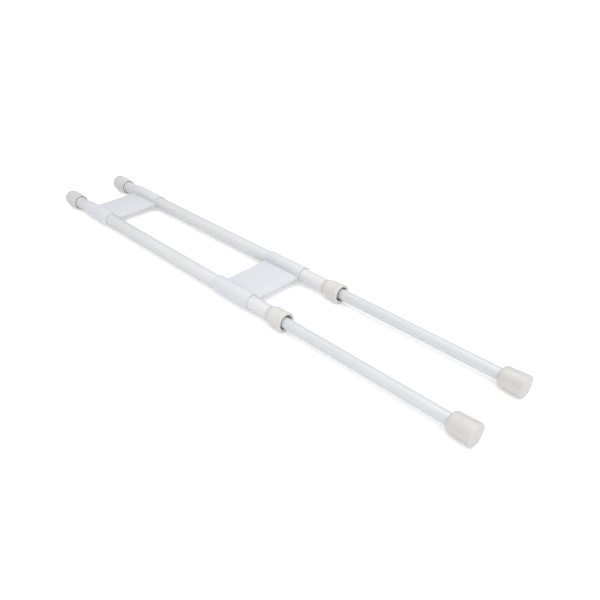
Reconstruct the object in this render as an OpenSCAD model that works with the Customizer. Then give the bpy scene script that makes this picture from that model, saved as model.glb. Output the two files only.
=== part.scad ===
// Double telescoping security bar: two spring-loaded rods held side by side by two clip-on spacers.
// The rods lie along X, one on each side of the X axis, and Z = 0 is the surface that they lie on.
// X = 0 is midway between the end faces, with the bar set as it stands at rest.
// Each rod is a large tube with a smaller tube that slides in it, locks with a twist and is sprung.

/* [Layout] */
// Distance between the centre lines of the two rods
rod_spacing = 67; // [50:0.5:100]
// Distance from the mouth of each large tube to the face of its front cap
reach = 193; // [60:0.5:300]
// How much further than the near one the far collar is pushed on its tube
collar_scatter = 4.4; // [0:0.1:5]

/* [Large tubes] */
// Outer diameter of the large tube
tube_od = 14; // [12.7:0.1:16]
// Wall of the large tube
tube_wall = 0.5; // [0.4:0.05:0.8]
// Length of the large tube
tube_len = 389.3; // [320:0.1:500]

/* [Small tubes] */
// Room all round between the small tube and the bore of the large tube
slim_room = 1.25; // [1:0.05:1.6]
// Wall of the small tube
slim_wall = 0.45; // [0.4:0.05:0.6]
// Length of the small tube
slim_len = 360; // [320:1:400]

/* [Rear caps] */
// Wall of the soft cap on the closed end of the large tube, at its mouth
rear_cap_wall = 1.46; // [1.2:0.02:2.2]
// Length of the rear cap
rear_cap_len = 25.5; // [22:0.5:32]
// Thickness of the rear cap's end
rear_cap_end = 3; // [2:0.25:5]
// How much further out the rear cap goes round its closed end
swell = 0.8; // [0.1:0.05:1.5]
// Length of that wide part
swell_len = 17; // [13:0.5:18]
// Length of the slope from the wide part down to the mouth
swell_slope = 3; // [1:0.5:3.5]
// Rounding of the rear cap's closed end
rear_cap_round = 2.75; // [1:0.25:3]
// Height of the rings moulded round the wide part
rib_h = 0.2; // [0.1:0.05:0.5]
// Width of each ring
rib_w = 1.6; // [1:0.1:2.5]
// Distance from one ring to the next
rib_pitch = 4.2; // [3:0.1:5]
// Number of rings
rib_n = 3; // [1:1:3]
// Wall of the thin sleeve in the rear cap's mouth, which hugs the tube
sleeve_wall = 0.5; // [0.3:0.05:0.7]
// Width of the groove round that sleeve
groove_w = 0.5; // [0.2:0.05:0.6]
// Depth of the groove
groove_len = 2.5; // [1:0.1:4]
// How far the sleeve stands out of the mouth
sleeve_out = 1.5; // [0.5:0.1:3]

/* [Collars] */
// Wall of the collar at the mouth of the large tube
collar_wall = 2; // [1.6:0.02:2.4]
// Length of the collar
collar_len = 20.5; // [16:0.5:30]
// Length of the cone at the collar's rear
cone_len = 5; // [3:0.5:8]
// Wall of the cone at its thin end
cone_wall = 0.36; // [0.3:0.02:1.2]
// How much further out the band at the collar's front goes
band_h = 0.5; // [0.1:0.05:1]
// Length of that band
band_len = 4; // [3:0.5:6]
// Length of the lip that stands over the end of the tube
lip_len = 2.9; // [2:0.1:5]
// Width of the ring that the lip hides the tube's edge with
lip_cover = 0.25; // [0.1:0.05:0.4]
// Rounding of the collar's front edge
lip_round = 1; // [0.3:0.1:1.2]

/* [Spacers] */
// Width of the web between the rods, measured along them
web_w = 48; // [30:1:80]
// Thickness of the web
web_t = 2; // [1.5:0.1:3]
// How far each clip is longer than the web at either side
clip_extra = 1; // [0:0.25:3]
// Wall of the clip at its top
clip_wall = 1.55; // [1.3:0.05:2]
// How far the clip's outside is set up from its bore, which thins the lips
clip_rise = 0.5; // [0.2:0.05:0.6]
// How far the clip wraps below the middle of the tube, on each side
clip_wrap = 24; // [22:1:30]
// Radius of the fillet between web and clip
web_fillet = 1.6; // [1:0.1:2.5]
// Distance from the mouth of the rear caps to the rear spacer's web
rear_spacer_gap = 23.5; // [5:0.5:60]
// Distance from the front spacer's web to the near collar
front_spacer_gap = 26.2; // [5:0.2:100]

/* [Front caps] */
// Wall of the front cap behind its shoulder
front_cap_wall = 3.41; // [2.9:0.01:4.5]
// How much further out the front cap's pressure face goes than that wall
front_cap_flare = 0.95; // [0.2:0.05:2]
// Length of the front cap
front_cap_len = 21.5; // [16:0.5:30]
// Thickness of the front cap's end, which the small tube stands against
front_cap_end = 5; // [3:0.5:8]
// Rounding of the front cap's shoulder
shoulder_round = 2.6; // [1:0.1:3]
// Rounding of the front cap's edge
face_round = 1.1; // [0.4:0.1:2]

/* [Twist lock] */
// Length of the split ring
ring_len = 10; // [6:0.5:16]
// Wall of the split ring, midway between its thin and its thick side
ring_wall = 2.12; // [1.8:0.02:2.6]
// Slit in the split ring
ring_slit = 2.4; // [1.5:0.1:3]
// Thickness of the two flanges that hold the ring on the core
flange_t = 1.8; // [1.2:0.1:3]
// Room between the flanges and the bore of the large tube, before the throw
flange_room = 0.9; // [0.6:0.05:1.4]
// Length of the boss that holds the push rod
boss_len = 8; // [5:0.5:12]
// Wall of the boss over the flats of the push rod
boss_wall = 1.9; // [1.5:0.1:2.2]
// Throw of the lock: from the tube's centre to the ring bore's centre
throw = 0.35; // [0.2:0.05:0.4]
// Twist from free to locked
twist = 120; // [90:5:150]

/* [Sprung slide] */
// Width across the flats of the square push rod
rod_w = 3.6; // [3:0.1:4]
// Travel of the sprung slide
spring_travel = 25; // [15:1:30]
// Length of the bush in the end of the small tube
bush_len = 8; // [6:0.5:12]
// Thickness of the push rod's head
head_t = 3; // [2:0.25:5]
// Length of the spring at rest
spring_len = 120; // [90:1:160]
// Diameter of the spring wire
wire_d = 1; // [0.8:0.1:1.2]
// Room all round between the spring and the bore of the small tube
spring_room = 0.4; // [0.2:0.05:0.8]
// Turns of the spring
spring_turns = 22; // [16:1:26]
// Length of the spring's stop in the small tube
stop_len = 8; // [6:0.5:12]
// Bore of the spring's stop
stop_bore = 3.2; // [2:0.1:5]

/* [Fits] */
// Radial gap of a part that is pushed on or in by hand
push_gap = 0.04; // [0.02:0.01:0.06]
// Radial gap of a part that turns in another
turn_gap = 0.08; // [0.05:0.01:0.1]
// Radial gap between large tube and lock ring
ring_gap = 0.08; // [0.05:0.01:0.1]
// Gap between two faces that move past each other
face_gap = 0.1; // [0.05:0.01:0.3]

/* [Hidden] */
$fn = 96;

// side is -1 on the near rod and 1 on the far rod
near = -1;
far = 1;
paint = "#E8E9EB";
slim_paint = "#E4E9EF";
vinyl = "#D8D2CA";
clear_vinyl = "#CFC6BE";
moulding = "#E9E9F2";
nylon = "#F2F2EE";
black_nylon = "#33353A";
steel = "#B9BCC0";

// Depth that the push rod goes past its boss into the lock's core
stub_len = 5;
// Thickness of the rim that seats the bush on the small tube's end
bush_rim = 1.2;
// Chamfer on the soft parts' edges
edge = 0.4;
// Chamfer on the rear cap's thin rim
rim_edge = 0.2;
// Length of the slope up to the collar's band
band_slope = 2;

tube_r = tube_od / 2;
tube_bore_r = tube_r - tube_wall;
// Bore of whatever is pushed over the large tube
grip_r = tube_r + push_gap;
slim_r = tube_bore_r - slim_room;
slim_bore_r = slim_r - slim_wall;
// Bore of the front cap, which is pushed over the small tube
socket_r = slim_r + push_gap;
rear_cap_r = grip_r + rear_cap_wall;
swell_r = rear_cap_r + swell;
collar_r = grip_r + collar_wall;
band_r = collar_r + band_h;
clip_r = grip_r + clip_wall - clip_rise;
neck_r = socket_r + front_cap_wall;
face_r = neck_r + front_cap_flare;
ring_bore_r = tube_bore_r - ring_gap - ring_wall;
flange_r = tube_bore_r - flange_room;
cam_r = ring_bore_r - turn_gap;
boss_r = rod_w / 2 + boss_wall;
// The widest piece lies on the surface
axis_z = max(face_r, band_r, swell_r + rib_h, clip_r + clip_rise);

tube_x0 = rear_cap_end - rear_cap_len;
mouth_x = tube_x0 + tube_len;
collar_x0 = mouth_x + lip_len - collar_len;
rear_spacer_x = rear_spacer_gap + web_w / 2;
front_spacer_x = collar_x0 - front_spacer_gap - web_w / 2;
face_x = mouth_x + reach;
mid_x = (face_x - rear_cap_len) / 2;
slim_x1 = face_x - front_cap_end;
slim_x0 = slim_x1 - slim_len;
bush_x1 = slim_x0 + bush_len;
head_x1 = bush_x1 + head_t;
spring_x1 = head_x1 + spring_len;
stop_x1 = spring_x1 + stop_len;
// The lock ends where the bush clears it by the travel of the spring
boss_x1 = slim_x0 - bush_rim - spring_travel - face_gap * 3;
core_x1 = boss_x1 - boss_len;
ring_x1 = core_x1 - flange_t - face_gap;
ring_x0 = ring_x1 - ring_len;
lock_x = ring_x0 - face_gap - flange_t;
// Rest position is locked: the twist has thrown the small tube off the middle by this much
lock_throw = 2 * throw * sin(twist / 2);

// Moves a rod's own frame to its place. Its X axis is the tube's axis, from the rear cap's mouth
module on_rod(side) {
  translate([-mid_x, side * rod_spacing / 2, axis_z]) children();
}

// Centre of the ring's bore, which is the axis that the lock twists about
module on_ring_bore(side) {
  translate([0, side * throw * sin(twist / 2), side * throw * cos(twist / 2)]) children();
}

// Centre of everything that follows the small tube: the lock throws it away from the other rod
module on_slim(side) {
  translate([0, side * lock_throw, 0]) children();
}

// A round bar along X
module bar(x0, x1, r) {
  translate([x0, 0, 0]) rotate([0, 90, 0]) cylinder(r = r, h = x1 - x0);
}

// A round pipe along X
module pipe(x0, x1, r_out, r_in) {
  difference() {
    bar(x0, x1, r_out);
    bar(x0 - 1, x1 + 1, r_in);
  }
}

// Turns a profile of [x, radius] points about the X axis
module turned() {
  rotate([0, 90, 0]) rotate_extrude() mirror([1, 0, 0]) rotate(90) children();
}

// A quarter round as a list of [x, radius] points, from angle a0 to a1
function arc(cx, cr, r, a0, a1, n = 8) = [
  for (i = [0 : n]) let (a = a0 + (a1 - a0) * i / n) [cx + r * cos(a), cr + r * sin(a)]
];

module tube(side) {
  color(paint) on_rod(side) pipe(tube_x0, mouth_x, tube_r, tube_bore_r);
}

// Soft cap that is wider round its closed end, with rings there and a sleeve in its grooved mouth
module rear_cap(side) {
  slope_x = swell_len - rear_cap_len;
  sleeve_r = grip_r + sleeve_wall;
  color(vinyl) on_rod(side) difference() {
    union() {
      turned() polygon(concat(
        [[-rear_cap_len, 0]],
        arc(rear_cap_round - rear_cap_len, swell_r - rear_cap_round, rear_cap_round, 180, 90),
        [[slope_x, swell_r], [slope_x + swell_slope, rear_cap_r]],
        [[-rim_edge, rear_cap_r], [0, rear_cap_r - rim_edge], [0, 0]]
      ));
      for (i = [0 : rib_n - 1]) translate([slope_x - i * rib_pitch, 0, 0]) bar(-rib_w, 0, swell_r + rib_h);
      bar(-rim_edge, sleeve_out, sleeve_r);
    }
    bar(tube_x0, sleeve_out + 1, grip_r);
    pipe(-groove_len, 1, sleeve_r + groove_w, sleeve_r);
  }
}

// Collar at the mouth of the large tube: a cone, a barrel, a band and a lip over the tube's end
module collar(side) {
  out = side == far ? collar_scatter : 0;
  x0 = collar_x0 + out;
  x1 = x0 + collar_len;
  lip_r = tube_bore_r + lip_cover;
  bevel = edge * 2;
  color(vinyl) on_rod(side) difference() {
    turned() polygon(concat(
      [[x0, 0], [x0, grip_r + cone_wall], [x0 + cone_len, collar_r]],
      [[x1 - band_len - band_slope, collar_r], [x1 - band_len, band_r]],
      arc(x1 - lip_round, band_r - lip_round, lip_round, 90, 0),
      [[x1, 0]]
    ));
    bar(x0 - 1, x1 - lip_len, grip_r);
    bar(x0, x1 + 1, lip_r);
    turned() polygon([
      [x1 - bevel, 0],
      [x1 - bevel, lip_r],
      [x1, lip_r + bevel],
      [x1 + 1, lip_r + bevel],
      [x1 + 1, 0]
    ]);
  }
}

// Outline of a clip seen along the rod, with its bore and the gap at its foot
module clip_outline() {
  // Far enough out to cut the gap through the whole wall
  reach_r = 2 * clip_r;
  // Outside of the clip at its lips, where it is set up from the bore
  lip_out_r = clip_r - clip_rise * sin(clip_wrap);
  lip_mid = (grip_r + lip_out_r) / 2;
  lip_r = (lip_out_r - grip_r) / 2;
  difference() {
    translate([0, clip_rise]) circle(r = clip_r);
    circle(r = grip_r);
    polygon([
      [0, 0],
      reach_r * [cos(-clip_wrap), sin(-clip_wrap)],
      reach_r * [1, -1],
      reach_r * [-1, -1],
      reach_r * [-cos(-clip_wrap), sin(-clip_wrap)]
    ]);
  }
  for (s = [-1, 1]) translate(lip_mid * [s * cos(clip_wrap), -sin(clip_wrap)]) circle(r = lip_r);
}

// Outline of the web with its fillets to the two clips, both sides of the middle plane
module web_outline() {
  half = rod_spacing / 2;
  // The web ends inside the wall of the clip, clear of its bore
  end = half - (grip_r + clip_r) / 2;
  root = half - clip_r;
  difference() {
    translate([-end, -web_t / 2 - web_fillet]) square([2 * end, web_t + 2 * web_fillet]);
    for (m = [-1, 1]) {
      translate([web_fillet - root, m * (web_t / 2 + web_fillet)]) circle(r = web_fillet);
      translate([root - web_fillet, m * (web_t / 2 + web_fillet)]) circle(r = web_fillet);
      translate([web_fillet - root, m == 1 ? web_t / 2 : -web_t / 2 - web_fillet - 1])
        square([2 * (root - web_fillet), web_fillet + 1]);
    }
  }
}

// Spacer: a thin web at the height of the rods' axes and a snap-on clip for each large tube
module spacer(at_x) {
  clip_len = web_w + 2 * clip_extra;
  color(moulding) translate([at_x - mid_x, 0, axis_z]) {
    for (side = [near, far])
      translate([-clip_len / 2, side * rod_spacing / 2, 0])
        rotate([90, 0, 90]) linear_extrude(clip_len) clip_outline();
    translate([-web_w / 2, 0, 0]) rotate([90, 0, 90]) linear_extrude(web_w) web_outline();
  }
}

// Split ring that grips the large tube: its bore is off the middle by the lock's throw
module lock_ring(side) {
  color(nylon) on_rod(side) difference() {
    bar(ring_x0, ring_x1, tube_bore_r - ring_gap);
    on_ring_bore(side) bar(ring_x0 - 1, ring_x1 + 1, ring_bore_r);
    translate([ring_x0 - 1, -ring_slit / 2, side == near ? 0 : -tube_r])
      cube([ring_len + 2, ring_slit, tube_r]);
  }
}

// Core of the lock: a cam in the ring, a flange at each end and a boss that holds the push rod
module lock_core(side) {
  color(black_nylon) on_rod(side) difference() {
    union() {
      on_ring_bore(side) {
        bar(lock_x, lock_x + flange_t, flange_r);
        bar(lock_x, core_x1, cam_r);
        bar(core_x1 - flange_t, core_x1, flange_r);
      }
      on_slim(side) bar(core_x1 - flange_t, boss_x1, boss_r);
    }
    on_slim(side) square_bar(core_x1 - stub_len, boss_x1 + 1, rod_w);
  }
}

// A square bar along X
module square_bar(x0, x1, w) {
  translate([x0, -w / 2, -w / 2]) cube([x1 - x0, w, w]);
}

module push_rod(side) {
  color(steel) on_rod(side) on_slim(side) square_bar(core_x1 - stub_len, head_x1, rod_w);
}

// Head on the end of the push rod: the bush stops it and the spring pushes on it
module rod_head(side) {
  color(steel) on_rod(side) on_slim(side) difference() {
    bar(bush_x1, head_x1, slim_bore_r - turn_gap);
    square_bar(bush_x1 - 1, head_x1 + 1, rod_w);
  }
}

module slim_tube(side) {
  color(slim_paint) on_rod(side) on_slim(side) pipe(slim_x0, slim_x1, slim_r, slim_bore_r);
}

// Bush in the rear end of the small tube: its square hole turns the push rod and lets it slide
module bush(side) {
  color(nylon) on_rod(side) on_slim(side) difference() {
    union() {
      bar(slim_x0 - bush_rim, slim_x0, slim_r);
      bar(slim_x0 - bush_rim, bush_x1, slim_bore_r - push_gap);
    }
    square_bar(slim_x0 - bush_rim - 1, bush_x1 + 1, rod_w + 2 * turn_gap);
  }
}

module spring_stop(side) {
  color(nylon) on_rod(side) on_slim(side) difference() {
    bar(spring_x1, stop_x1, slim_bore_r - push_gap);
    bar(spring_x1 - 1, stop_x1 + 1, stop_bore / 2);
  }
}

// One ring of the spring wire's skin, at the given share of its length
function wire_ring(t, sides) =
  let (
    turn = 360 * spring_turns * t,
    mid_r = slim_bore_r - spring_room - wire_d / 2,
    x = head_x1 + wire_d / 2 + (spring_len - wire_d) * t
  ) [
    for (k = [0 : sides - 1])
      let (
        a = 360 * k / sides,
        r = mid_r + wire_d / 2 * cos(a)
      ) [x + wire_d / 2 * sin(a), r * cos(turn), r * sin(turn)]
  ];

// Coil spring in the small tube, between the push rod's head and the stop
module coil_spring(side) {
  sides = 6;
  steps = spring_turns * 14;
  skin = [for (i = [0 : steps]) each wire_ring(i / steps, sides)];
  walls = [
    for (i = [0 : steps - 1], k = [0 : sides - 1])
      let (a = i * sides + k, b = i * sides + (k + 1) % sides) [a, b, b + sides, a + sides]
  ];
  ends = [
    [for (k = [sides - 1 : -1 : 0]) k],
    [for (k = [0 : sides - 1]) steps * sides + k]
  ];
  color(steel) on_rod(side) on_slim(side) polyhedron(skin, concat(walls, ends));
}

// Front cap: a solid soft foot with a rounded shoulder that widens to its flat pressure face
module front_cap(side) {
  x0 = face_x - front_cap_len;
  color(clear_vinyl) on_rod(side) on_slim(side) difference() {
    turned() polygon(concat(
      [[x0, 0]],
      arc(x0 + shoulder_round, neck_r - shoulder_round, shoulder_round, 180, 90),
      arc(face_x - face_round, face_r - face_round, face_round, 90, 0),
      [[face_x, 0]]
    ));
    bar(x0 - 1, slim_x1, socket_r);
  }
}

tube(near);  // near_tube
tube(far);  // far_tube
rear_cap(near);  // near_rear_cap
rear_cap(far);  // far_rear_cap
collar(near);  // near_collar
collar(far);  // far_collar
spacer(rear_spacer_x);  // rear_spacer
spacer(front_spacer_x);  // front_spacer
lock_ring(near);  // near_lock_ring
lock_ring(far);  // far_lock_ring
lock_core(near);  // near_lock_core
lock_core(far);  // far_lock_core
push_rod(near);  // near_push_rod
push_rod(far);  // far_push_rod
rod_head(near);  // near_rod_head
rod_head(far);  // far_rod_head
coil_spring(near);  // near_spring
coil_spring(far);  // far_spring
slim_tube(near);  // near_slim_tube
slim_tube(far);  // far_slim_tube
bush(near);  // near_bush
bush(far);  // far_bush
spring_stop(near);  // near_spring_stop
spring_stop(far);  // far_spring_stop
front_cap(near);  // near_front_cap
front_cap(far);  // far_front_cap
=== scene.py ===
import math
import bmesh
import bpy
from mathutils import Matrix, Vector


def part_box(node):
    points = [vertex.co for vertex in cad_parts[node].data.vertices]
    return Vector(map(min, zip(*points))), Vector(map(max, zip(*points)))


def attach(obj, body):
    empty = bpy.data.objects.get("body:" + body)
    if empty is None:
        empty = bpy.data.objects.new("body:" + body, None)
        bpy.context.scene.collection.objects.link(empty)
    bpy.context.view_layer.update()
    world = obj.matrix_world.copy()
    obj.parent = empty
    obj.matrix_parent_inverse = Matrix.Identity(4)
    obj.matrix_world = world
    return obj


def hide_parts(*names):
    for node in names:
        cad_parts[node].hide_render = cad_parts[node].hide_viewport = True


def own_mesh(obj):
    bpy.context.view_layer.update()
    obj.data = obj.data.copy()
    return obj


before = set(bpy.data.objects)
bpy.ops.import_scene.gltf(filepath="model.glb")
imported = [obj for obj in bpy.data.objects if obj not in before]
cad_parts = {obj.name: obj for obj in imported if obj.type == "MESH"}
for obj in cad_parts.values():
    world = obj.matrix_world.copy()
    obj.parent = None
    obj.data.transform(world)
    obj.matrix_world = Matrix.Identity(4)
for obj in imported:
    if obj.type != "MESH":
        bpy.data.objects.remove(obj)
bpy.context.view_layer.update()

mm = 0.001
# room all round between a tube and what is pushed on it
fit = 0.04 * mm
sides = ("near", "far")
scene = bpy.context.scene
print("frame loaded:", len(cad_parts), "nodes")


# small helpers for meshes

def arcPoints(centreX, centreR, radius, startDeg, endDeg, steps):
    points = []
    for i in range(steps + 1):
        angle = math.radians(startDeg + (endDeg - startDeg) * i / steps)
        points.append((centreX + radius * math.cos(angle), centreR + radius * math.sin(angle)))
    return points


def easedPoints(startX, startR, endX, endR, steps=8):
    # a slope that starts and ends level
    points = []
    for i in range(steps + 1):
        share = i / steps
        eased = (1 - math.cos(math.pi * share)) / 2
        points.append((startX + (endX - startX) * share, startR + (endR - startR) * eased))
    return points


def smoothByAngle(mesh, degrees):
    mesh.shade_smooth()
    mesh.set_sharp_from_angle(angle=math.radians(degrees))


def addObject(name, mesh, material, body, replaced=()):
    obj = bpy.data.objects.new(name, mesh)
    scene.collection.objects.link(obj)
    mesh.materials.clear()
    mesh.materials.append(material)
    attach(obj, body)
    if replaced:
        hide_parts(*replaced)
    return obj


def rodAxis(node):
    # middle of a round node, seen along the rod
    low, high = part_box(node)
    return (low.y + high.y) / 2, (low.z + high.z) / 2


def turnOutline(outline, axisY, axisZ, segments=96):
    # outline is a list of (x, radius); it is closed on the axis or on itself
    bm = bmesh.new()
    rings = []
    for x, r in outline:
        if r < 1e-7:
            rings.append([bm.verts.new((x, axisY, axisZ))])
            continue
        ring = []
        for i in range(segments):
            a = 2 * math.pi * i / segments
            ring.append(bm.verts.new((x, axisY + r * math.cos(a), axisZ + r * math.sin(a))))
        rings.append(ring)
    if all(len(ring) > 1 for ring in rings):
        rings.append(rings[0])
    for a, b in zip(rings, rings[1:]):
        for i in range(segments):
            j = (i + 1) % segments
            if len(a) == 1:
                bm.faces.new((a[0], b[i], b[j]))
            elif len(b) == 1:
                bm.faces.new((a[i], b[0], a[j]))
            else:
                bm.faces.new((a[i], b[i], b[j], a[j]))
    bmesh.ops.recalc_face_normals(bm, faces=bm.faces)
    mesh = bpy.data.meshes.new("turned")
    bm.to_mesh(mesh)
    bm.free()
    return mesh


# small helpers for node trees

def addNode(tree, kind, inputs=None, **settings):
    node = tree.nodes.new(kind)
    for key, value in settings.items():
        setattr(node, key, value)
    for key, value in (inputs or {}).items():
        if isinstance(value, bpy.types.NodeSocket):
            tree.links.new(value, node.inputs[key])
        else:
            node.inputs[key].default_value = value
    return node


def newShapeTree(name, inputs):
    tree = bpy.data.node_groups.new(name, "GeometryNodeTree")
    tree.interface.new_socket("Geometry", in_out="OUTPUT", socket_type="NodeSocketGeometry")
    for label, kind in inputs:
        tree.interface.new_socket(label, in_out="INPUT", socket_type=kind)
    return tree, tree.nodes.new("NodeGroupInput").outputs, tree.nodes.new("NodeGroupOutput")


def finishShape(tree, geometry, material, end):
    real = addNode(tree, "GeometryNodeRealizeInstances", {"Geometry": geometry})
    painted = addNode(tree, "GeometryNodeSetMaterial", {"Geometry": real.outputs[0], "Material": material})
    tree.links.new(painted.outputs[0], end.inputs[0])


def withModifiers(obj):
    graph = bpy.context.evaluated_depsgraph_get()
    return bpy.data.meshes.new_from_object(obj.evaluated_get(graph))


def growMesh(tree, values):
    obj = bpy.data.objects.new("growing", bpy.data.meshes.new("growing"))
    scene.collection.objects.link(obj)
    modifier = obj.modifiers.new("shape", "NODES")
    modifier.node_group = tree
    for item in tree.interface.items_tree:
        if item.in_out == "INPUT" and item.name in values:
            modifier[item.identifier] = values[item.name]
    mesh = withModifiers(obj)
    bpy.data.objects.remove(obj)
    return mesh


def newShaderGroup(name, inputs, outputs):
    tree = bpy.data.node_groups.new(name, "ShaderNodeTree")
    for label, kind, default in inputs:
        socket = tree.interface.new_socket(label, in_out="INPUT", socket_type=kind)
        if default is not None:
            socket.default_value = default
    for label, kind in outputs:
        tree.interface.new_socket(label, in_out="OUTPUT", socket_type=kind)
    return tree, tree.nodes.new("NodeGroupInput").outputs, tree.nodes.new("NodeGroupOutput")


def calc(tree, operation, a, b, clamp=False):
    return addNode(tree, "ShaderNodeMath", {0: a, 1: b}, operation=operation, use_clamp=clamp).outputs[0]


def stretched(tree, vector, scale):
    return addNode(tree, "ShaderNodeVectorMath", {0: vector, 1: scale}, operation="MULTIPLY").outputs[0]


def mixColour(tree, mask, a, b):
    # sockets 6, 7 and out 2 are the colour ones of a Mix node
    return addNode(tree, "ShaderNodeMix", {0: mask, 6: a, 7: b}, data_type="RGBA").outputs[2]


def maskFrom(tree, value, low, high):
    # 0 at low, 1 at high
    return addNode(tree, "ShaderNodeMapRange",
                   {"Value": value, "From Min": low, "From Max": high}).outputs["Result"]


def rangeTo(tree, value, low, high):
    return addNode(tree, "ShaderNodeMapRange",
                   {"Value": value, "To Min": low, "To Max": high}).outputs["Result"]


def noise(tree, vector, scale, detail, roughness=0.5):
    return addNode(tree, "ShaderNodeTexNoise", {"Vector": vector, "Scale": scale, "Detail": detail,
                                                "Roughness": roughness}).outputs["Fac"]


# shader groups that several finishes use

def makeMottle():
    # soft cloudy change of colour, as in any painted or moulded surface
    tree, given, end = newShaderGroup("mottle", [
        ("Vector", "NodeSocketVector", None), ("Colour", "NodeSocketColor", (1, 1, 1, 1)),
        ("Tint", "NodeSocketColor", (1, 1, 1, 1)), ("Patch Size", "NodeSocketFloat", 0.02),
        ("Amount", "NodeSocketFloat", 0.5)],
        [("Colour", "NodeSocketColor"), ("Mask", "NodeSocketFloat")])
    cloud = noise(tree, given["Vector"], calc(tree, "DIVIDE", 1.0, given["Patch Size"]), 5.0, 0.6)
    mask = calc(tree, "MULTIPLY", maskFrom(tree, cloud, 0.35, 0.68), given["Amount"], clamp=True)
    tree.links.new(mixColour(tree, mask, given["Colour"], given["Tint"]), end.inputs["Colour"])
    tree.links.new(mask, end.inputs["Mask"])
    return tree


def makeGrain():
    # fine skin: a spray's orange peel or a mould's texture, with a sparse scatter of specks
    tree, given, end = newShaderGroup("surfaceGrain", [
        ("Vector", "NodeSocketVector", None), ("Grain Size", "NodeSocketFloat", 0.0006),
        ("Speck Size", "NodeSocketFloat", 0.004)],
        [("Height", "NodeSocketFloat"), ("Specks", "NodeSocketFloat")])
    fine = noise(tree, given["Vector"], calc(tree, "DIVIDE", 1.0, given["Grain Size"]), 3.0, 0.55)
    cells = addNode(tree, "ShaderNodeTexVoronoi",
                    {"Vector": given["Vector"], "Scale": calc(tree, "DIVIDE", 1.0, given["Speck Size"])})
    tree.links.new(fine, end.inputs["Height"])
    tree.links.new(maskFrom(tree, cells.outputs["Distance"], 0.05, 0.0), end.inputs["Specks"])
    return tree


def makeRub():
    # hair-fine marks along the rod, where one piece has slid in another
    tree, given, end = newShaderGroup("slidingRub", [
        ("Vector", "NodeSocketVector", None), ("Mark Width", "NodeSocketFloat", 0.0003),
        ("Mark Length", "NodeSocketFloat", 0.05), ("Share", "NodeSocketFloat", 0.3)],
        [("Mask", "NodeSocketFloat")])
    across = calc(tree, "DIVIDE", 1.0, given["Mark Width"])
    along = calc(tree, "DIVIDE", 1.0, given["Mark Length"])
    scale = addNode(tree, "ShaderNodeCombineXYZ", {"X": along, "Y": across, "Z": across})
    lines = noise(tree, stretched(tree, given["Vector"], scale.outputs[0]), 1.0, 2.0)
    patches = noise(tree, given["Vector"], 28.0, 2.0)
    mask = calc(tree, "MULTIPLY", maskFrom(tree, lines, 0.60, 0.72), maskFrom(tree, patches, 0.45, 0.65))
    tree.links.new(calc(tree, "MULTIPLY", mask, given["Share"], clamp=True), end.inputs["Mask"])
    return tree


def makeEdgeWearAndHighlight():
    # wear and a painted highlight on the edges that stand out, broken up by noise
    tree, given, end = newShaderGroup("edgeWearAndHighlight", [
        ("Vector", "NodeSocketVector", None), ("Amount", "NodeSocketFloat", 0.5)],
        [("Mask", "NodeSocketFloat")])
    pointiness = addNode(tree, "ShaderNodeNewGeometry").outputs["Pointiness"]
    edge = maskFrom(tree, pointiness, 0.53, 0.60)
    broken = calc(tree, "MULTIPLY", edge, noise(tree, given["Vector"], 900.0, 3.0))
    tree.links.new(calc(tree, "MULTIPLY", broken, given["Amount"], clamp=True), end.inputs["Mask"])
    return tree


groups = {"mottle": makeMottle(), "grain": makeGrain(), "rub": makeRub(), "edge": makeEdgeWearAndHighlight()}


def startFinish(name, constants):
    material = bpy.data.materials.new(name)
    material.use_nodes = True
    tree = material.node_tree
    shader = tree.nodes["Principled BSDF"]
    for key, value in constants.items():
        shader.inputs[key].default_value = value
    where = addNode(tree, "ShaderNodeTexCoord").outputs["Object"]
    return material, tree, shader, where


def useGroup(tree, name, inputs):
    return addNode(tree, "ShaderNodeGroup", inputs, node_tree=groups[name]).outputs


def meshMark(tree, name):
    return addNode(tree, "ShaderNodeAttribute", attribute_name=name).outputs["Fac"]


# colour of the painted shade where a surface turns away from the view
paintedRimShadeColour = (0.12, 0.12, 0.14, 1)


def rimPaintedShade(tree, colour, amount):
    # painted shade: a little darker where the surface turns away from the view
    facing = addNode(tree, "ShaderNodeLayerWeight", {"Blend": 0.5}).outputs["Facing"]
    turnedAway = calc(tree, "POWER", facing, 2.2)
    return mixColour(tree, calc(tree, "MULTIPLY", turnedAway, amount, clamp=True), colour, paintedRimShadeColour)


def bumpFrom(tree, shader, height, strength, distance):
    bump = addNode(tree, "ShaderNodeBump", {"Height": height, "Strength": strength, "Distance": distance})
    tree.links.new(bump.outputs["Normal"], shader.inputs["Normal"])


def roughFrom(tree, shader, cloud, least, spread, wear, dull):
    # clouds and wear each take off a little shine
    cloudy = rangeTo(tree, cloud, least, least + spread)
    rough = calc(tree, "ADD", cloudy, calc(tree, "MULTIPLY", wear, dull), clamp=True)
    tree.links.new(rough, shader.inputs["Roughness"])


# finishes

paintWear = {"patch": 35 * mm, "patchAmount": 0.6, "speckSize": 9 * mm, "speckShare": 0.25,
             "markWidth": 0.35 * mm, "markDepth": 1.5, "markDull": 0.2, "dullSpread": 0.06,
             "bumpDepth": 0.05 * mm}


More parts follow.
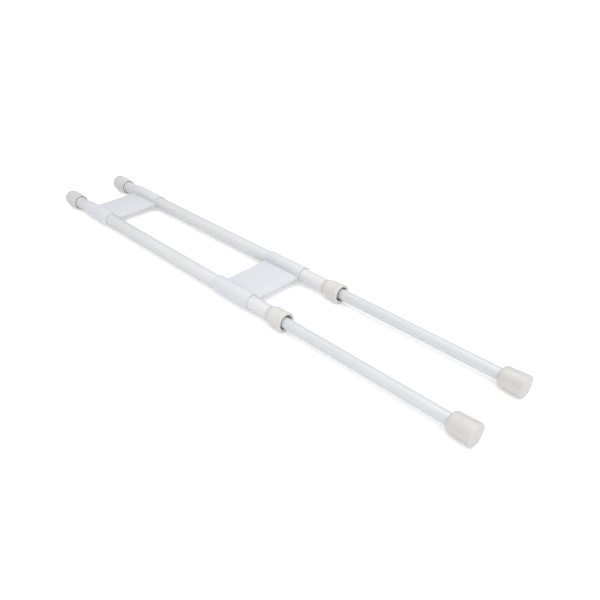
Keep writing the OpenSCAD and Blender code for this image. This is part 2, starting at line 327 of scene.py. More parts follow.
def makePaint(name, look):
    # sprayed and baked enamel on steel tube
    wear = paintWear
    material, tree, shader, where = startFinish(
        name, {"Coat Weight": look["coat"], "Coat Roughness": look["coatRoughness"],
               "Specular IOR Level": look["specular"]})
    mottle = useGroup(tree, "mottle", {"Vector": where, "Colour": look["colour"], "Tint": look["tint"],
                                       "Patch Size": wear["patch"], "Amount": wear["patchAmount"]})
    grain = useGroup(tree, "grain", {"Vector": where, "Grain Size": look["peel"],
                                     "Speck Size": wear["speckSize"]})
    rub = useGroup(tree, "rub", {"Vector": where, "Mark Width": wear["markWidth"],
                                 "Mark Length": look["markLength"], "Share": look["rub"]})
    marked = mixColour(tree, rub["Mask"], mottle["Colour"], look["rubColour"])
    specks = calc(tree, "MULTIPLY", grain["Specks"], wear["speckShare"])
    speckled = mixColour(tree, specks, marked, look["speck"])
    tree.links.new(rimPaintedShade(tree, speckled, look["rim"]), shader.inputs["Base Color"])
    roughFrom(tree, shader, mottle["Mask"], look["roughness"], wear["dullSpread"],
              rub["Mask"], wear["markDull"])
    depth = calc(tree, "MULTIPLY", rub["Mask"], wear["markDepth"])
    height = calc(tree, "SUBTRACT", grain["Height"], depth)
    bumpFrom(tree, shader, height, look["bump"], wear["bumpDepth"])
    return material


mouldingWear = {"coatRoughness": 0.3, "speckSize": 5 * mm, "speckShare": 0.18, "closedShare": 0.8,
                "paintedRimHighlightShare": 0.9, "edgeDull": 0.1, "dullSpread": 0.08, "flowDepth": 1.2}


def makeMoulding(name, look):
    # moulded soft vinyl or hard plastic
    wear = mouldingWear
    material, tree, shader, where = startFinish(
        name, {"Subsurface Weight": look["glow"], "Subsurface Scale": look["glowDepth"],
               "Subsurface Radius": look["glowRadius"], "Specular IOR Level": look["specular"],
               "Coat Weight": look["coat"], "Coat Roughness": wear["coatRoughness"]})
    mottle = useGroup(tree, "mottle", {"Vector": where, "Colour": look["colour"], "Tint": look["tint"],
                                       "Patch Size": look["patch"], "Amount": look["patchAmount"]})
    grain = useGroup(tree, "grain", {"Vector": where, "Grain Size": look["grain"],
                                     "Speck Size": wear["speckSize"]})
    edge = useGroup(tree, "edge", {"Vector": where, "Amount": look["edge"]})
    base = mottle["Colour"]
    if look.get("closedColour"):
        # the mesh marks the cap's closed part, drawn darker; the mouth rim and sleeve, drawn paler as a
        # painted highlight; and the groove, drawn near black as a painted shade
        closed = calc(tree, "MULTIPLY", meshMark(tree, "closedEnd"), wear["closedShare"])
        base = mixColour(tree, closed, base, look["closedColour"])
        # painted highlight on the cap's mouth rim and sleeve
        paintedRimHighlight = calc(tree, "MULTIPLY", meshMark(tree, "thinEdge"), wear["paintedRimHighlightShare"])
        base = mixColour(tree, paintedRimHighlight, base, look["paintedRimHighlightColour"])
        # painted shade: the groove drawn near black
        base = mixColour(tree, meshMark(tree, "paintedGrooveShade"), base, look["paintedGrooveShadeColour"])
    # wear and a painted highlight: the standing edges are drawn lighter
    wornAndHighlighted = mixColour(tree, edge["Mask"], base, look["edgeWearAndHighlightColour"])
    specks = calc(tree, "MULTIPLY", grain["Specks"], wear["speckShare"])
    speckled = mixColour(tree, specks, wornAndHighlighted, look["speck"])
    tree.links.new(rimPaintedShade(tree, speckled, look["rim"]), shader.inputs["Base Color"])
    roughFrom(tree, shader, mottle["Mask"], look["roughness"], wear["dullSpread"],
              edge["Mask"], wear["edgeDull"])
    height = grain["Height"]
    if look.get("flow"):
        # flow lines that the melt leaves in a long flat moulding
        flow = noise(tree, stretched(tree, where, look["flow"]), 1.0, 4.0)
        height = calc(tree, "ADD", height, calc(tree, "MULTIPLY", flow, wear["flowDepth"]))
    bumpFrom(tree, shader, height, look["bump"], look["bumpDepth"])
    return material


steelWear = {"patch": 6 * mm, "patchAmount": 0.8, "markWidth": 0.12 * mm, "markLength": 8 * mm,
             "markShare": 0.8, "markDull": 0.15, "dullSpread": 0.15, "bump": 0.3, "bumpDepth": 0.02 * mm}


def makeSteel(name, look):
    # bare or plated steel with fine drawing lines
    wear = steelWear
    material, tree, shader, where = startFinish(name, {"Metallic": 1.0})
    mottle = useGroup(tree, "mottle", {"Vector": where, "Colour": look["colour"], "Tint": look["tint"],
                                       "Patch Size": wear["patch"], "Amount": wear["patchAmount"]})
    rub = useGroup(tree, "rub", {"Vector": where, "Mark Width": wear["markWidth"],
                                 "Mark Length": wear["markLength"], "Share": wear["markShare"]})
    tree.links.new(mixColour(tree, rub["Mask"], mottle["Colour"], look["dark"]), shader.inputs["Base Color"])
    roughFrom(tree, shader, mottle["Mask"], look["roughness"], wear["dullSpread"],
              rub["Mask"], wear["markDull"])
    bumpFrom(tree, shader, rub["Mask"], wear["bump"], wear["bumpDepth"])
    return material


finishes = {
    "large_tube_paint": makePaint("largeTubeEnamel", {
        "colour": (0.645, 0.647, 0.654, 1), "tint": (0.616, 0.619, 0.630, 1), "speck": (0.50, 0.50, 0.50, 1),
        "rubColour": (0.57, 0.57, 0.58, 1), "rim": 0.60, "roughness": 0.40, "specular": 0.25,
        "coat": 0.06, "coatRoughness": 0.2,
        "peel": 1.6 * mm, "bump": 0.12, "rub": 0.12, "markLength": 30 * mm}),
    "small_tube_paint": makePaint("smallTubeEnamel", {
        "colour": (0.582, 0.597, 0.612, 1), "tint": (0.558, 0.571, 0.592, 1), "speck": (0.48, 0.49, 0.50, 1),
        "rubColour": (0.54, 0.56, 0.58, 1), "rim": 0.70, "roughness": 0.22, "specular": 0.45,
        "coat": 0.15, "coatRoughness": 0.08,
        "peel": 1.9 * mm, "bump": 0.08, "rub": 0.20, "markLength": 80 * mm}),
    "soft_cap": makeMoulding("softCapVinyl", {
        "colour": (0.612, 0.598, 0.580, 1), "tint": (0.588, 0.570, 0.548, 1), "speck": (0.48, 0.46, 0.43, 1),
        "closedColour": (0.530, 0.530, 0.522, 1), "paintedRimHighlightColour": (0.715, 0.715, 0.695, 1),
        "paintedGrooveShadeColour": (0.04, 0.038, 0.03, 1), "edgeWearAndHighlightColour": (0.72, 0.71, 0.69, 1), "edge": 0.8,
        "rim": 0.35, "roughness": 0.48, "specular": 0.25, "coat": 0.0,
        "patch": 7 * mm, "patchAmount": 0.7, "grain": 0.45 * mm, "bump": 0.25, "bumpDepth": 0.08 * mm,
        "glow": 0.12, "glowDepth": 2 * mm, "glowRadius": (1.0, 0.85, 0.7)}),
    "pressure_cap": makeMoulding("pressureCapVinyl", {
        "colour": (0.565, 0.552, 0.536, 1), "tint": (0.525, 0.500, 0.484, 1), "speck": (0.45, 0.43, 0.41, 1),
        "edgeWearAndHighlightColour": (0.72, 0.70, 0.67, 1), "edge": 1.0,
        "rim": 0.62, "roughness": 0.28, "specular": 0.5, "coat": 0.15,
        "patch": 9 * mm, "patchAmount": 0.8, "grain": 0.7 * mm, "bump": 0.15, "bumpDepth": 0.06 * mm,
        "glow": 0.30, "glowDepth": 4 * mm, "glowRadius": (1.0, 0.8, 0.65)}),
    "spacer": makeMoulding("spacerPlastic", {
        "colour": (0.615, 0.618, 0.655, 1), "tint": (0.595, 0.598, 0.636, 1), "speck": (0.52, 0.52, 0.55, 1),
        "edgeWearAndHighlightColour": (0.88, 0.88, 0.90, 1), "edge": 1.0,
        "rim": 0.35, "roughness": 0.38, "specular": 0.3, "coat": 0.0,
        "patch": 22 * mm, "patchAmount": 0.6, "grain": 0.35 * mm, "bump": 0.10, "bumpDepth": 0.05 * mm,
        "glow": 0.10, "glowDepth": 2 * mm, "glowRadius": (0.9, 0.9, 1.0), "flow": (40.0, 14.0, 300.0)}),
    "nylon": makeMoulding("naturalNylon", {
        "colour": (0.800, 0.790, 0.740, 1), "tint": (0.740, 0.730, 0.670, 1), "speck": (0.60, 0.58, 0.52, 1),
        "edgeWearAndHighlightColour": (0.86, 0.85, 0.82, 1), "edge": 0.6,
        "rim": 0.1, "roughness": 0.42, "specular": 0.45, "coat": 0.0,
        "patch": 4 * mm, "patchAmount": 0.7, "grain": 0.4 * mm, "bump": 0.2, "bumpDepth": 0.06 * mm,
        "glow": 0.20, "glowDepth": 2 * mm, "glowRadius": (1.0, 0.9, 0.75)}),
    "lock_core_plastic": makeMoulding("lockCorePlastic", {
        "colour": (0.035, 0.036, 0.040, 1), "tint": (0.055, 0.055, 0.060, 1), "speck": (0.12, 0.12, 0.12, 1),
        "edgeWearAndHighlightColour": (0.16, 0.16, 0.17, 1), "edge": 0.8,
        "rim": 0.0, "roughness": 0.45, "specular": 0.5, "coat": 0.0,
        "patch": 3 * mm, "patchAmount": 0.7, "grain": 0.3 * mm, "bump": 0.3, "bumpDepth": 0.06 * mm,
        "glow": 0.0, "glowDepth": 1 * mm, "glowRadius": (1.0, 1.0, 1.0)}),
    "steel": makeSteel("platedSteel", {
        "colour": (0.62, 0.63, 0.64, 1), "tint": (0.52, 0.53, 0.52, 1), "dark": (0.36, 0.36, 0.36, 1),
        "roughness": 0.28}),
    "spring_steel": makeSteel("springSteel", {
        "colour": (0.50, 0.49, 0.47, 1), "tint": (0.38, 0.36, 0.34, 1), "dark": (0.22, 0.21, 0.20, 1),
        "roughness": 0.24}),
}
print("finishes made:", len(finishes))


# tubes: a wall section with rounded rims, swept round the rod's axis

def makePipeTree():
    tree, given, end = newShapeTree("rolledPipe", [
        ("Start", "NodeSocketFloat"), ("Length", "NodeSocketFloat"), ("Outer Radius", "NodeSocketFloat"),
        ("Wall", "NodeSocketFloat"), ("Rim Rounding", "NodeSocketFloat"), ("Axis Y", "NodeSocketFloat"),
        ("Axis Z", "NodeSocketFloat"), ("Segments", "NodeSocketInt"), ("Material", "NodeSocketMaterial")])
    halfWall = calc(tree, "MULTIPLY", given["Wall"], 0.5)
    middleRadius = calc(tree, "SUBTRACT", given["Outer Radius"], halfWall)
    path = addNode(tree, "GeometryNodeCurvePrimitiveCircle",
                   {"Resolution": given["Segments"], "Radius": middleRadius})
    upright = addNode(tree, "GeometryNodeSetCurveNormal", {"Curve": path.outputs[0]}, mode="Z_UP")
    section = addNode(tree, "GeometryNodeCurvePrimitiveQuadrilateral",
                      {"Width": given["Wall"], "Height": given["Length"]})
    rounded = addNode(tree, "GeometryNodeFilletCurve",
                      {"Curve": section.outputs[0], "Radius": given["Rim Rounding"], "Count": 4,
                       "Limit Radius": True}, mode="POLY")
    swept = addNode(tree, "GeometryNodeCurveToMesh",
                    {"Curve": upright.outputs[0], "Profile Curve": rounded.outputs[0]})
    middle = calc(tree, "ADD", given["Start"], calc(tree, "MULTIPLY", given["Length"], 0.5))
    place = addNode(tree, "ShaderNodeCombineXYZ",
                    {"X": middle, "Y": given["Axis Y"], "Z": given["Axis Z"]})
    laid = addNode(tree, "GeometryNodeTransform",
                   {"Geometry": swept.outputs[0], "Translation": place.outputs[0],
                    "Rotation": (0, math.radians(90), 0)})
    finishShape(tree, laid.outputs[0], given["Material"], end)
    return tree


tubeLook = {"wall": 0.5 * mm, "rimRounding": 0.2 * mm, "segments": 128}
slimTubeLook = {"wall": 0.45 * mm, "rimRounding": 0.18 * mm, "segments": 112}
pipeTree = makePipeTree()


def makeTube(side, part, look, finish, body):
    node = f"{side}_{part}"
    low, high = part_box(node)
    axisY, axisZ = rodAxis(node)
    mesh = growMesh(pipeTree, {
        "Start": low.x, "Length": high.x - low.x, "Outer Radius": (high.z - low.z) / 2, "Wall": look["wall"],
        "Rim Rounding": look["rimRounding"], "Axis Y": axisY, "Axis Z": axisZ,
        "Segments": look["segments"], "Material": finishes[finish]})
    smoothByAngle(mesh, 50)
    addObject(f"{node}_pipe", mesh, finishes[finish], body, [node])


for side in sides:
    makeTube(side, "tube", tubeLook, "large_tube_paint", "frame")
    makeTube(side, "slim_tube", slimTubeLook, "small_tube_paint", f"{side}_slider")
print("tubes made")


# soft caps and collars

def makeRingTree():
    # beads round the rod, one every pitch
    tree, given, end = newShapeTree("mouldedRings", [
        ("First", "NodeSocketFloat"), ("Pitch", "NodeSocketFloat"), ("Count", "NodeSocketInt"),
        ("Outer Radius", "NodeSocketFloat"), ("Bead Width", "NodeSocketFloat"),
        ("Bead Depth", "NodeSocketFloat"), ("Rounding", "NodeSocketFloat"), ("Axis Y", "NodeSocketFloat"),
        ("Axis Z", "NodeSocketFloat"), ("Material", "NodeSocketMaterial")])
    radius = calc(tree, "SUBTRACT", given["Outer Radius"], calc(tree, "MULTIPLY", given["Bead Depth"], 0.5))
    path = addNode(tree, "GeometryNodeCurvePrimitiveCircle", {"Resolution": 96, "Radius": radius})
    upright = addNode(tree, "GeometryNodeSetCurveNormal", {"Curve": path.outputs[0]}, mode="Z_UP")
    section = addNode(tree, "GeometryNodeCurvePrimitiveQuadrilateral",
                      {"Width": given["Bead Depth"], "Height": given["Bead Width"]})
    rounded = addNode(tree, "GeometryNodeFilletCurve",
                      {"Curve": section.outputs[0], "Radius": given["Rounding"], "Count": 3,
                       "Limit Radius": True}, mode="POLY")
    ring = addNode(tree, "GeometryNodeCurveToMesh",
                   {"Curve": upright.outputs[0], "Profile Curve": rounded.outputs[0]})
    turned = addNode(tree, "GeometryNodeTransform",
                     {"Geometry": ring.outputs[0], "Rotation": (0, math.radians(90), 0)})
    start = addNode(tree, "ShaderNodeCombineXYZ",
                    {"X": given["First"], "Y": given["Axis Y"], "Z": given["Axis Z"]})
    step = addNode(tree, "ShaderNodeCombineXYZ", {"X": given["Pitch"]})
    points = addNode(tree, "GeometryNodeMeshLine",
                     {"Count": given["Count"], "Start Location": start.outputs[0], "Offset": step.outputs[0]})
    rings = addNode(tree, "GeometryNodeInstanceOnPoints",
                    {"Points": points.outputs[0], "Instance": turned.outputs[0]})
    finishShape(tree, rings.outputs[0], given["Material"], end)
    return tree


ringTree = makeRingTree()
rearCapLook = {"wall": 1.46 * mm, "swellLength": 17 * mm, "slope": 3 * mm, "endRounding": 2.75 * mm,
               "ringHeight": 0.2 * mm, "ringWidth": 1.6 * mm, "ringPitch": 4.2 * mm, "ringCount": 3,
               "sleeveWall": 0.45 * mm, "grooveWidth": 0.65 * mm, "grooveDepth": 2.5 * mm,
               "sleeveOut": 1.5 * mm, "rimRounding": 0.2 * mm, "grooveChamfer": 0.1 * mm,
               "palerRim": 0.9 * mm, "palerSleeve": 0.4 * mm, "ringRoot": 0.5 * mm,
               "ringRounding": 0.2 * mm, "ringClosedAsHighlight": 0.35, "near": 0.1 * mm}


def makeRearCap(side):
    look, node = rearCapLook, f"{side}_rear_cap"
    low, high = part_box(node)
    axisY, axisZ = rodAxis(node)
    tubeLow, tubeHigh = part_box(f"{side}_tube")
    boreR = (tubeHigh.z - tubeLow.z) / 2 + fit
    outerR = (high.z - low.z) / 2
    wideR = outerR - look["ringHeight"]
    capR = boreR + look["wall"]
    sleeveR = boreR + look["sleeveWall"]
    grooveR = sleeveR + look["grooveWidth"]
    mouth = high.x - look["sleeveOut"]
    bottom = mouth - look["grooveDepth"]
    slopeX = low.x + look["swellLength"]
    rounding, rim = look["endRounding"], look["rimRounding"]
    outline = [(low.x, 0)]
    outline += arcPoints(low.x + rounding, wideR - rounding, rounding, 180, 90, 10)
    outline += easedPoints(slopeX, wideR, slopeX + look["slope"], capR)
    outline.append((mouth - look["palerRim"], capR))
    outline += arcPoints(mouth - rim, capR - rim, rim, 90, 0, 4)
    outline += [(mouth - look["grooveChamfer"], grooveR), (bottom, grooveR), (bottom, sleeveR),
                (mouth, sleeveR), (mouth + look["palerSleeve"], sleeveR)]
    outline += arcPoints(high.x - rim, sleeveR - rim, rim, 90, 0, 4)
    outline += [(high.x, boreR), (tubeLow.x, boreR), (tubeLow.x, 0)]
    mesh = turnOutline(outline, axisY, axisZ)
    smoothByAngle(mesh, 40)
    markNames = ("closedEnd", "paintedGrooveShade", "thinEdge")
    for name in markNames:
        mesh.attributes.new(name, "FLOAT", "POINT")
    closed, paintedGrooveShade, paintedRimHighlight = (mesh.attributes[name].data for name in markNames)
    near = look["near"]
    for i, vertex in enumerate(mesh.vertices):
        x = vertex.co.x
        radius = math.hypot(vertex.co.y - axisY, vertex.co.z - axisZ)
        outside = radius > boreR + near
        inGroove = outside and radius < grooveR + near / 2 and bottom - near < x < mouth + near
        onEdge = outside and x > mouth - rim - near and not inGroove
        # the body is drawn darker, the groove gets a painted shade, and the mouth rim and sleeve get a
        # painted highlight
        closed[i].value = 1.0 if x < (bottom + mouth) / 2 else 0.0
        paintedGrooveShade[i].value = 1.0 if inGroove else 0.0
        paintedRimHighlight[i].value = 1.0 if onEdge else 0.0
    addObject(f"{node}_body", mesh, finishes["soft_cap"], "frame", [node])
    rings = growMesh(ringTree, {
        "First": slopeX - look["ringWidth"] / 2, "Pitch": -look["ringPitch"],
        "Count": look["ringCount"], "Outer Radius": outerR, "Bead Width": look["ringWidth"],
        "Bead Depth": look["ringHeight"] + look["ringRoot"], "Rounding": look["ringRounding"],
        "Axis Y": axisY, "Axis Z": axisZ, "Material": finishes["soft_cap"]})
    smoothByAngle(rings, 50)
    # the rings take less of the darker body colour, so they stand out lighter as a painted highlight
    ringClosedAsHighlight = rings.attributes.new("closedEnd", "FLOAT", "POINT")
    ringClosedAsHighlight.data.foreach_set("value", [look["ringClosedAsHighlight"]] * len(rings.vertices))
    addObject(f"{node}_rings", rings, finishes["soft_cap"], "frame")


collarLook = {"wall": 2 * mm, "coneLength": 5 * mm, "coneWall": 0.36 * mm, "bandLength": 4 * mm,
              "bandSlope": 2 * mm, "lipLength": 2.9 * mm, "lipCover": 0.25 * mm, "lipRounding": 1 * mm,
              "edge": 0.8 * mm, "thinEdge": 0.15 * mm}
# where the cone turns into the barrel: along from the cone's end, and down from the barrel
coneTurn = ((-0.5 * mm, 0.17 * mm), (0, 0.03 * mm), (0.6 * mm, 0))


def makeCollar(side):
    look, node = collarLook, f"{side}_collar"
    low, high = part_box(node)
    axisY, axisZ = rodAxis(node)
    tubeLow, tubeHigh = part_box(f"{side}_tube")
    tubeR = (tubeHigh.z - tubeLow.z) / 2
    boreR = tubeR + fit
    barrelR = boreR + look["wall"]
    lipR = tubeR - tubeLook["wall"] + look["lipCover"]
    bandR = (high.z - low.z) / 2
    rounding = look["lipRounding"]
    coneEnd = low.x + look["coneLength"]
    bandX = high.x - look["bandLength"]
    lipStart = high.x - look["lipLength"]
    coneR, thinEdge = boreR + look["coneWall"], look["thinEdge"]
    outline = [(low.x, boreR), (low.x, coneR - thinEdge), (low.x + thinEdge, coneR)]
    outline += [(coneEnd + along, barrelR - down) for along, down in coneTurn]
    outline += easedPoints(bandX - look["bandSlope"], barrelR, bandX, bandR)
    outline += arcPoints(high.x - rounding, bandR - rounding, rounding, 90, 0, 8)
    outline += arcPoints(high.x - look["edge"], lipR + look["edge"], look["edge"], 0, -90, 5)
    outline += [(lipStart, lipR), (lipStart, boreR)]
    mesh = turnOutline(outline, axisY, axisZ)
    smoothByAngle(mesh, 40)
    addObject(f"{node}_body", mesh, finishes["soft_cap"], "frame", [node])


frontCapLook = {"wall": 3.41 * mm, "endThickness": 5 * mm, "shoulderRounding": 2.6 * mm,
                "faceRounding": 1.1 * mm}


def makeFrontCap(side):
    look, node, body = frontCapLook, f"{side}_front_cap", f"{side}_slider"
    low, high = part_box(node)
    axisY, axisZ = rodAxis(node)
    slimLow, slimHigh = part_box(f"{side}_slim_tube")
    boreR = (slimHigh.z - slimLow.z) / 2 + fit
    faceR = (high.z - low.z) / 2
    neckR = boreR + look["wall"]
    shoulder, rounding = look["shoulderRounding"], look["faceRounding"]
    inner = high.x - look["endThickness"]
    outline = [(inner, 0), (inner, boreR), (low.x, boreR)]
    outline += arcPoints(low.x + shoulder, neckR - shoulder, shoulder, 180, 90, 10)
    outline += arcPoints(high.x - rounding, faceR - rounding, rounding, 90, 0, 8)
    outline += [(high.x, faceR * share) for share in (0.6, 0.3, 0)]
    mesh = turnOutline(outline, axisY, axisZ)
    smoothByAngle(mesh, 40)
    addObject(f"{node}_body", mesh, finishes["pressure_cap"], body, [node])


for side in sides:
    makeRearCap(side)
    makeCollar(side)
    makeFrontCap(side)
print("caps and collars made")


# spacers: a web and two clips in one moulding

spacerLook = {"webThickness": 2 * mm, "clipExtra": 1 * mm, "clipWall": 1.55 * mm, "clipRise": 0.5 * mm,
              "clipWrap": 24, "fillet": 1.6 * mm, "edge": 0.4 * mm, "sharpNearBore": 0.2 * mm}


def extruded(points, x0, x1, name):
    bm = bmesh.new()
    start = [bm.verts.new((x0, y, z)) for y, z in points]
    finish = [bm.verts.new((x1, y, z)) for y, z in points]
    bm.faces.new(start)
    bm.faces.new(finish)
    for i in range(len(points)):
        j = (i + 1) % len(points)
        bm.faces.new((start[i], start[j], finish[j], finish[i]))
    bmesh.ops.recalc_face_normals(bm, faces=bm.faces)
    mesh = bpy.data.meshes.new(name)
    bm.to_mesh(mesh)
    bm.free()
    obj = bpy.data.objects.new(name, mesh)
    scene.collection.objects.link(obj)
    return obj


def clipPoints(axisY, axisZ, boreR, outR, look):
    # goes over the top outside, round one lip, back inside and round the other lip
    wrap, rise = look["clipWrap"], look["clipRise"]
    lipOutR = outR - rise * math.sin(math.radians(wrap))
    lipR = (lipOutR - boreR) / 2
    lipMid = (lipOutR + boreR) / 2
    lipY, lipZ = lipMid * math.cos(math.radians(wrap)), -lipMid * math.sin(math.radians(wrap))
    points = arcPoints(0, rise, outR, -wrap - 2, 180 + wrap + 2, 64)
    points += arcPoints(-lipY, lipZ, lipR, 180 + wrap, 360 + wrap, 8)[1:-1]
    points += arcPoints(0, 0, boreR, 180 + wrap, -wrap, 60)
    points += arcPoints(lipY, lipZ, lipR, 180 - wrap, 360 - wrap, 8)[1:-1]
    return [(axisY + y, axisZ + z) for y, z in points]


def webPoints(nearY, farY, axisZ, boreR, outR, look):
    # the web's top with a fillet to each clip, then the same below
    midWall = (boreR + outR) / 2
    half, fillet = look["webThickness"] / 2, look["fillet"]
    left, right = nearY + outR, farY - outR
    top = [(nearY + midWall, half + fillet)]
    top += arcPoints(left + fillet, half + fillet, fillet, 180, 270, 8)
    top += arcPoints(right - fillet, half + fillet, fillet, 270, 360, 8)
    top += [(farY - midWall, half + fillet)]
    return [(y, axisZ + z) for y, z in top] + [(y, axisZ - z) for y, z in reversed(top)]


def markOuterEdges(mesh, rodYs, axisZ, innerR):
    # outer edges get rounded, and the edges of the bores stay sharp against the tubes
    weights = mesh.attributes.new("bevel_weight_edge", "FLOAT", "EDGE")
    bm = bmesh.new()
    bm.from_mesh(mesh)
    for edge in bm.edges:
        middle = (edge.verts[0].co + edge.verts[1].co) / 2
        radius = min(math.hypot(middle.y - y, middle.z - axisZ) for y in rodYs)
        isSharp = len(edge.link_faces) == 2 and edge.calc_face_angle() > math.radians(50)
        weights.data[edge.index].value = 1.0 if isSharp and radius > innerR else 0.0
    bm.free()


def makeSpacer(node):
    look = spacerLook
    low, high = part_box(node)
    nearY, axisZ = rodAxis("near_tube")
    farY = rodAxis("far_tube")[0]
    tubeLow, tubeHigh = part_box("near_tube")
    boreR = (tubeHigh.z - tubeLow.z) / 2 + fit
    outR = boreR + look["clipWall"] - look["clipRise"]
    inset = look["clipExtra"]
    web = webPoints(nearY, farY, axisZ, boreR, outR, look)
    obj = extruded(web, low.x + inset, high.x - inset, f"{node}_moulding")
    for y in (nearY, farY):
        clip = extruded(clipPoints(y, axisZ, boreR, outR, look), low.x, high.x, "clip")
        joined = obj.modifiers.new("join", "BOOLEAN")
        joined.operation = "UNION"
        joined.solver = "EXACT"
        joined.object = clip
        mesh = withModifiers(obj)
        obj.modifiers.clear()
        obj.data = mesh
        bpy.data.objects.remove(clip)
    markOuterEdges(mesh, (nearY, farY), axisZ, boreR + look["sharpNearBore"])
    softened = obj.modifiers.new("soften", "BEVEL")
    softened.width = look["edge"]
    softened.segments = 4
    softened.limit_method = "WEIGHT"
    mesh = withModifiers(obj)
    bpy.data.objects.remove(obj)
    smoothByAngle(mesh, 40)
    addObject(f"{node}_moulding", mesh, finishes["spacer"], "frame", [node])


for node in ("rear_spacer", "front_spacer"):
    makeSpacer(node)
print("spacers made")


# springs: a wound wire whose end turns lie close, as they stand on the stop

def makeCoilTree():
    tree, given, end = newShapeTree("woundSpring", [
        ("Start", "NodeSocketFloat"), ("Length", "NodeSocketFloat"), ("Outer Radius", "NodeSocketFloat"),
        ("Wire", "NodeSocketFloat"), ("Turns", "NodeSocketFloat"), ("Closed Turns", "NodeSocketFloat"),
        ("Axis Y", "NodeSocketFloat"), ("Axis Z", "NodeSocketFloat"), ("Material", "NodeSocketMaterial")])
    radius = calc(tree, "SUBTRACT", given["Outer Radius"], calc(tree, "MULTIPLY", given["Wire"], 0.5))
    helix = addNode(tree, "GeometryNodeCurveSpiral",
                    {"Resolution": 28, "Rotations": given["Turns"], "Start Radius": radius,
                     "End Radius": radius, "Height": 0.0})
    share = addNode(tree, "GeometryNodeSplineParameter").outputs["Factor"]
    closed = calc(tree, "DIVIDE", given["Closed Turns"], given["Turns"])
    opened = calc(tree, "SUBTRACT", 1.0, closed)
    endRise = calc(tree, "MULTIPLY", given["Closed Turns"], given["Wire"])
    span = calc(tree, "SUBTRACT", given["Length"], given["Wire"])
    midRise = calc(tree, "SUBTRACT", span, calc(tree, "MULTIPLY", endRise, 2.0))
    rise = calc(tree, "MULTIPLY", given["Wire"], 0.5)
    stretches = ((0.0, closed, endRise), (closed, opened, midRise), (opened, 1.0, endRise))
    for first, last, amount in stretches:
        part = addNode(tree, "ShaderNodeMapRange",
                       {"Value": share, "From Min": first, "From Max": last, "To Max": amount})
        rise = calc(tree, "ADD", rise, part.outputs["Result"])
    offset = addNode(tree, "ShaderNodeCombineXYZ", {"Z": rise})
    raised = addNode(tree, "GeometryNodeSetPosition",
                     {"Geometry": helix.outputs[0], "Offset": offset.outputs[0]})
    wire = addNode(tree, "GeometryNodeCurvePrimitiveCircle",
                   {"Resolution": 12, "Radius": calc(tree, "MULTIPLY", given["Wire"], 0.5)})
    wound = addNode(tree, "GeometryNodeCurveToMesh",
                    {"Curve": raised.outputs[0], "Profile Curve": wire.outputs[0], "Fill Caps": True})
    place = addNode(tree, "ShaderNodeCombineXYZ",
                    {"X": given["Start"], "Y": given["Axis Y"], "Z": given["Axis Z"]})
    laid = addNode(tree, "GeometryNodeTransform",
                   {"Geometry": wound.outputs[0], "Translation": place.outputs[0],
                    "Rotation": (0, math.radians(90), 0)})
    finishShape(tree, laid.outputs[0], given["Material"], end)
    return tree


coilTree = makeCoilTree()
springLook = {"wire": 1 * mm, "turns": 24.0, "closedTurns": 1.75, "outerRadius": 4.4 * mm}

for side in sides:
    low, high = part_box(f"{side}_spring")
    axisY, axisZ = rodAxis(f"{side}_slim_tube")
    mesh = growMesh(coilTree, {
        "Start": low.x, "Length": high.x - low.x, "Outer Radius": springLook["outerRadius"],
        "Wire": springLook["wire"], "Turns": springLook["turns"], "Closed Turns": springLook["closedTurns"],
        "Axis Y": axisY, "Axis Z": axisZ, "Material": finishes["spring_steel"]})
    smoothByAngle(mesh, 60)
    coil = addObject(f"{side}_spring_coil", mesh, finishes["spring_steel"], f"{side}_slider",
                     [f"{side}_spring"])
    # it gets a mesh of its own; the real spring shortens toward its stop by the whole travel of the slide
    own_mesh(coil)
print("springs made")


# pieces that keep their CAD shape

keptFinishes = {"lock_ring": "nylon", "lock_core": "lock_core_plastic", "push_rod": "steel",
                "rod_head": "steel", "bush": "nylon", "spring_stop": "nylon"}

for part, finish in keptFinishes.items():
    for side in sides:
        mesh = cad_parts[f"{side}_{part}"].data
        mesh.materials.clear()
        mesh.materials.append(finishes[finish])
print("kept pieces finished")


# floor, light and camera

floorLook = {"size": 12, "colour": (0.93, 0.93, 0.93, 1), "roughness": 0.9, "specular": 0.1, "glow": 0.24}


def makeFloor():
    look = floorLook
    bpy.ops.mesh.primitive_plane_add(size=look["size"], location=(0, 0, 0))
    floor = bpy.context.object
    floor.name = "floor"
    material = bpy.data.materials.new("paleFloor")
    material.use_nodes = True
    shader = material.node_tree.nodes["Principled BSDF"]
    shader.inputs["Base Color"].default_value = look["colour"]
    shader.inputs["Roughness"].default_value = look["roughness"]
    shader.inputs["Specular IOR Level"].default_value = look["specular"]
    shader.inputs["Emission Color"].default_value = (1.0, 1.0, 1.0, 1)
    shader.inputs["Emission Strength"].default_value = look["glow"]
    floor.data.materials.append(material)


def makeSoftbox(name, location, target, size, power):
    data = bpy.data.lights.new(name, "AREA")
    data.shape = "RECTANGLE"
    data.size, data.size_y = size
    data.energy = power
    lamp = bpy.data.objects.new(name, data)
    scene.collection.objects.link(lamp)
    direction = Vector(target) - Vector(location)
    turn = direction.to_track_quat("-Z", "Y").to_matrix().to_4x4()
    lamp.matrix_world = Matrix.Translation(location) @ turn


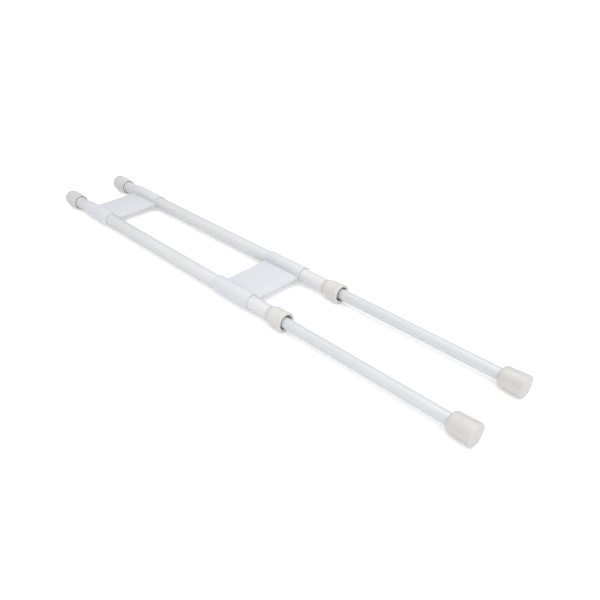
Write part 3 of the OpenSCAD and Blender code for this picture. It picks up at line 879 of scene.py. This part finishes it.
worldLook = {"strength": 0.85, "extraWhenSeen": 0.2}
# each is made from its place, the point it faces, its two sides and its watts
softboxes = {"overhead": ((0.45, 0.05, 1.5), (0.1, 0, 0), (1.8, 1.4), 13),
             "strip": ((0.1, 0.17, 1.2), (0.1, 0, 0), (2.4, 0.12), 3),
             "front": ((1.6, -0.25, 0.55), (0, 0, 0), (0.9, 0.9), 1)}


def makeLight():
    world = bpy.data.worlds.new("studio")
    scene.world = world
    world.use_nodes = True
    tree = world.node_tree
    backdrop = tree.nodes["Background"]
    backdrop.inputs["Color"].default_value = (1.0, 1.0, 1.0, 1)
    # a soft light all round, which looks as white as the floor where the floor ends
    seen = addNode(tree, "ShaderNodeLightPath").outputs["Is Camera Ray"]
    extra = calc(tree, "MULTIPLY", seen, worldLook["extraWhenSeen"])
    tree.links.new(calc(tree, "ADD", extra, worldLook["strength"]), backdrop.inputs["Strength"])
    for name, values in softboxes.items():
        makeSoftbox(name, *values)


cameraLook = {"position": (0.4203, -0.3212, 0.3150), "yaw": -46.21, "pitch": 33.34, "roll": -1.323,
              "lens": 36.19}


def makeCamera():
    look = cameraLook
    yaw, pitch, roll = (math.radians(look[key]) for key in ("yaw", "pitch", "roll"))
    forward = Vector((math.sin(yaw) * math.cos(pitch), math.cos(yaw) * math.cos(pitch), -math.sin(pitch)))
    right = Vector((math.cos(yaw), -math.sin(yaw), 0))
    up = right.cross(forward)
    rolledRight = math.cos(roll) * right + math.sin(roll) * up
    rolledUp = math.cos(roll) * up - math.sin(roll) * right
    data = bpy.data.cameras.new("camera")
    data.sensor_width = 36
    data.lens = look["lens"]
    data.clip_start, data.clip_end = 0.01, 50
    camera = bpy.data.objects.new("camera", data)
    scene.collection.objects.link(camera)
    turn = Matrix((rolledRight, rolledUp, -forward)).transposed().to_4x4()
    camera.matrix_world = Matrix.Translation(look["position"]) @ turn
    scene.camera = camera


makeFloor()
makeLight()
makeCamera()
scene.view_settings.view_transform = "Standard"
print("stage, light and camera made")
